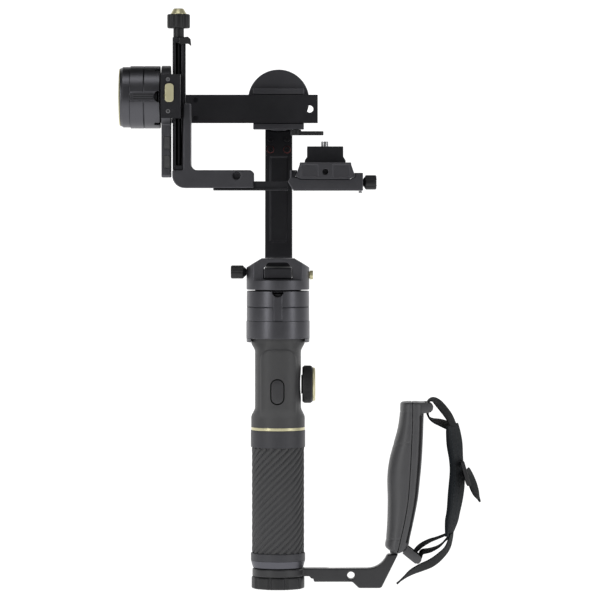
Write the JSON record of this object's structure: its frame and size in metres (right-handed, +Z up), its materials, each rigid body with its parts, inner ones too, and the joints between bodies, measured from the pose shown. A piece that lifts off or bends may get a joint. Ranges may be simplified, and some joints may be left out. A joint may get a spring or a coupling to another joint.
{
  "type": "camera gimbal",
  "caption": "Handheld three-axis camera stabiliser: grip with sling handle, three motors on sliding arms, and a quick-release camera plate.",
  "frame": {"origin": "centre of the tripod socket's mouth, on the pan axis at the bottom of the foot knob", "axes": "+Z up along the pan axis, -Y towards the camera's lens side, +X towards the sling handle"},
  "size_m": [0.3064, 0.226, 0.4897],
  "materials": {
    "black_knob_plastic": "glass-filled nylon, fine texture",
    "anodised_aluminium": "bead-blasted, dark grey anodised",
    "arm_aluminium": "fine satin, dark grey anodised",
    "black_aluminium": "satin black anodised",
    "grip_rubber": "moulded matt rubber",
    "gold_anodised": "pale champagne anodised",
    "cell_wrap": "steel-cased cells in printed-free shrink wrap",
    "housing_plastic": "fine moulded texture",
    "circuit_board": "green solder mask",
    "display_glass": "smoked glass",
    "laminated_steel": "laminated steel with copper windings",
    "turned_steel": "turned, dull nickel plate",
    "nylon_webbing": "woven nylon"
  },
  "bodies": {
    "handle": {"end_cap": "anodised_aluminium", "grip_tube": "black_aluminium", "grip_sleeve": "grip_rubber", "accent_ring": "gold_anodised", "battery_cells": "cell_wrap", "housing_front": "housing_plastic", "housing_rear": "housing_plastic", "control_board": "circuit_board", "rear_panel": "housing_plastic", "display_window": "display_glass", "pan_motor_base": "anodised_aluminium", "pan_motor_shell": "anodised_aluminium", "pan_stator": "laminated_steel"},
    "foot_knob": {"base_knob": "black_knob_plastic"},
    "sling": {"sling_arm": "black_aluminium", "sling_shell_inner": "housing_plastic", "sling_shell_outer": "housing_plastic", "strap_webbing": "nylon_webbing", "strap_pad": "nylon_webbing", "strap_buckle": "black_knob_plastic"},
    "trigger": {"trigger_button": "black_knob_plastic"},
    "wheel": {"control_wheel": "black_knob_plastic", "wheel_cap": "gold_anodised"},
    "stick_ring": {"joystick_ring": "black_knob_plastic"},
    "stick": {"joystick_cap": "grip_rubber"},
    "dial": {"mode_dial": "black_knob_plastic"},
    "menu": {"menu_button": "gold_anodised"},
    "pan_frame": {"pan_clamp": "anodised_aluminium", "pan_rotor": "turned_steel"},
    "pan_lock_slider": {"pan_lock": "gold_anodised"},
    "yaw_screw_body": {"yaw_screw": "black_knob_plastic"},
    "yaw_frame": {"yaw_arm": "arm_aluminium", "yaw_arm_screws": "turned_steel", "roll_motor_shell": "anodised_aluminium", "roll_stator": "laminated_steel"},
    "roll_frame": {"roll_clamp": "anodised_aluminium", "roll_rotor": "turned_steel"},
    "roll_lock_slider": {"roll_lock": "gold_anodised"},
    "roll_lever_body": {"roll_lever": "black_knob_plastic"},
    "roll_arm_frame": {"roll_arm": "arm_aluminium", "tilt_motor_shell": "anodised_aluminium", "tilt_end_cap": "anodised_aluminium", "tilt_stator": "laminated_steel"},
    "tilt_frame": {"tilt_plate": "anodised_aluminium", "tilt_rotor": "turned_steel", "clamp_block": "black_aluminium", "port_covers": "grip_rubber"},
    "tilt_lock_slider": {"tilt_lock": "gold_anodised"},
    "post": {"post_rail": "arm_aluminium", "camera_bracket": "arm_aluminium"},
    "height_screw": {"height_knob": "black_knob_plastic", "lead_screw": "turned_steel"},
    "height_hook": {"height_lever": "black_knob_plastic"},
    "platform": {"slide_plate": "black_aluminium", "qr_base": "arm_aluminium"},
    "platform_knob": {"qr_knob": "black_knob_plastic"},
    "platform_button": {"safety_button": "turned_steel"},
    "plate": {"qr_plate": "arm_aluminium", "camera_riser": "black_aluminium"},
    "plate_screw": {"camera_screw": "turned_steel"}
  },
  "joints": [
    {"name": "foot_knob_turn", "type": "hinge", "parent": "handle", "child": "foot_knob", "pos_m": [0, 0, 0.005], "axis": [0, 0, 1], "range_deg": [-180, 180]},
    {"name": "sling_swivel", "type": "hinge", "parent": "handle", "child": "sling", "pos_m": [0, 0, 0.0136], "axis": [0, 0, 1], "range_deg": [-180, 180]},
    {"name": "trigger_press", "type": "slide", "parent": "handle", "child": "trigger", "axis": [0, 1, 0], "range_m": [0, 0.0012], "stiffness_N_per_m": 600, "springref_m": -0.001},
    {"name": "wheel_turn", "type": "hinge", "parent": "handle", "child": "wheel", "pos_m": [0.02, 0, 0.1726], "axis": [1, 0, 0], "continuous": true},
    {"name": "stick_up_down", "type": "hinge", "parent": "handle", "child": "stick_ring", "pos_m": [0, 0.0162, 0.177], "axis": [1, 0, 0], "range_deg": [-15, 15], "stiffness_Nm_per_rad": 0.02},
    {"name": "stick_left_right", "type": "hinge", "parent": "stick_ring", "child": "stick", "pos_m": [0, 0.0162, 0.177], "axis": [0, 0, 1], "range_deg": [-15, 15], "stiffness_Nm_per_rad": 0.02},
    {"name": "dial_turn", "type": "hinge", "parent": "handle", "child": "dial", "pos_m": [0, 0.02, 0.156], "axis": [0, 1, 0], "continuous": true},
    {"name": "menu_press", "type": "slide", "parent": "handle", "child": "menu", "axis": [0, -1, 0], "range_m": [0, 0.0008], "stiffness_N_per_m": 600, "springref_m": -0.001},
    {"name": "pan", "type": "hinge", "parent": "handle", "child": "pan_frame", "pos_m": [0, 0, 0.25], "axis": [0, 0, 1], "continuous": true},
    {"name": "pan_lock_slide", "type": "slide", "parent": "pan_frame", "child": "pan_lock_slider", "axis": [0, 0, 1], "range_m": [-0.0036, 0]},
    {"name": "yaw_screw_turn", "type": "hinge", "parent": "pan_frame", "child": "yaw_screw_body", "pos_m": [-0.03, 0, 0.2675], "axis": [1, 0, 0], "range_deg": [-360, 0]},
    {"name": "yaw_arm_slide", "type": "slide", "parent": "pan_frame", "child": "yaw_frame", "axis": [0, 1, 0], "range_m": [-0.012, 0.012]},
    {"name": "roll", "type": "hinge", "parent": "yaw_frame", "child": "roll_frame", "pos_m": [0, 0.1, 0.415], "axis": [0, 1, 0], "range_deg": [-60, 240]},
    {"name": "roll_lock_slide", "type": "slide", "parent": "roll_frame", "child": "roll_lock_slider", "axis": [0, -1, 0], "range_m": [-0.003, 0]},
    {"name": "roll_lever_turn", "type": "hinge", "parent": "roll_frame", "child": "roll_lever_body", "pos_m": [0.015, 0.09, 0.388], "axis": [0, 0, 1], "range_deg": [-90, 0]},
    {"name": "roll_arm_slide", "type": "slide", "parent": "roll_frame", "child": "roll_arm_frame", "axis": [1, 0, 0], "range_m": [-0.015, 0.015]},
    {"name": "tilt", "type": "hinge", "parent": "roll_arm_frame", "child": "tilt_frame", "pos_m": [-0.1, 0, 0.415], "axis": [1, 0, 0], "range_deg": [-60, 90]},
    {"name": "tilt_lock_slide", "type": "slide", "parent": "tilt_frame", "child": "tilt_lock_slider", "axis": [1, 0, 0], "range_m": [-0.003, 0]},
    {"name": "height_slide", "type": "slide", "parent": "tilt_frame", "child": "post", "axis": [0, 0, 1], "range_m": [-0.015, 0.015]},
    {"name": "height_screw_turn", "type": "hinge", "parent": "post", "child": "height_screw", "pos_m": [-0.0837, -0.003, 0.47], "axis": [0, 0, 1], "range_deg": [-2700, 2700]},
    {"name": "height_hook_turn", "type": "hinge", "parent": "post", "child": "height_hook", "pos_m": [-0.0798, -0.009, 0.462], "axis": [0, 1, 0], "range_deg": [0, 60]},
    {"name": "platform_slide", "type": "slide", "parent": "post", "child": "platform", "axis": [1, 0, 0], "range_m": [-0.015, 0.015]},
    {"name": "platform_knob_turn", "type": "hinge", "parent": "platform", "child": "platform_knob", "pos_m": [0.0709, -0.062, 0.3429], "axis": [1, 0, 0], "range_deg": [-180, 0]},
    {"name": "platform_button_press", "type": "slide", "parent": "platform", "child": "platform_button", "axis": [0, 0, 1], "range_m": [0, 0.0015], "stiffness_N_per_m": 400, "springref_m": -0.001},
    {"name": "plate_slide", "type": "slide", "parent": "platform", "child": "plate", "axis": [0, 1, 0], "range_m": [-0.015, 0.015]},
    {"name": "camera_screw_turn", "type": "hinge", "parent": "plate", "child": "plate_screw", "pos_m": [0.0395, 0.008, 0.35], "axis": [0, 0, 1], "range_deg": [-360, 0]}
  ],
  "couplings": [
    {"joint": "height_screw_turn", "follows": "height_slide", "rad_per_m": 3141.6}
  ]
}
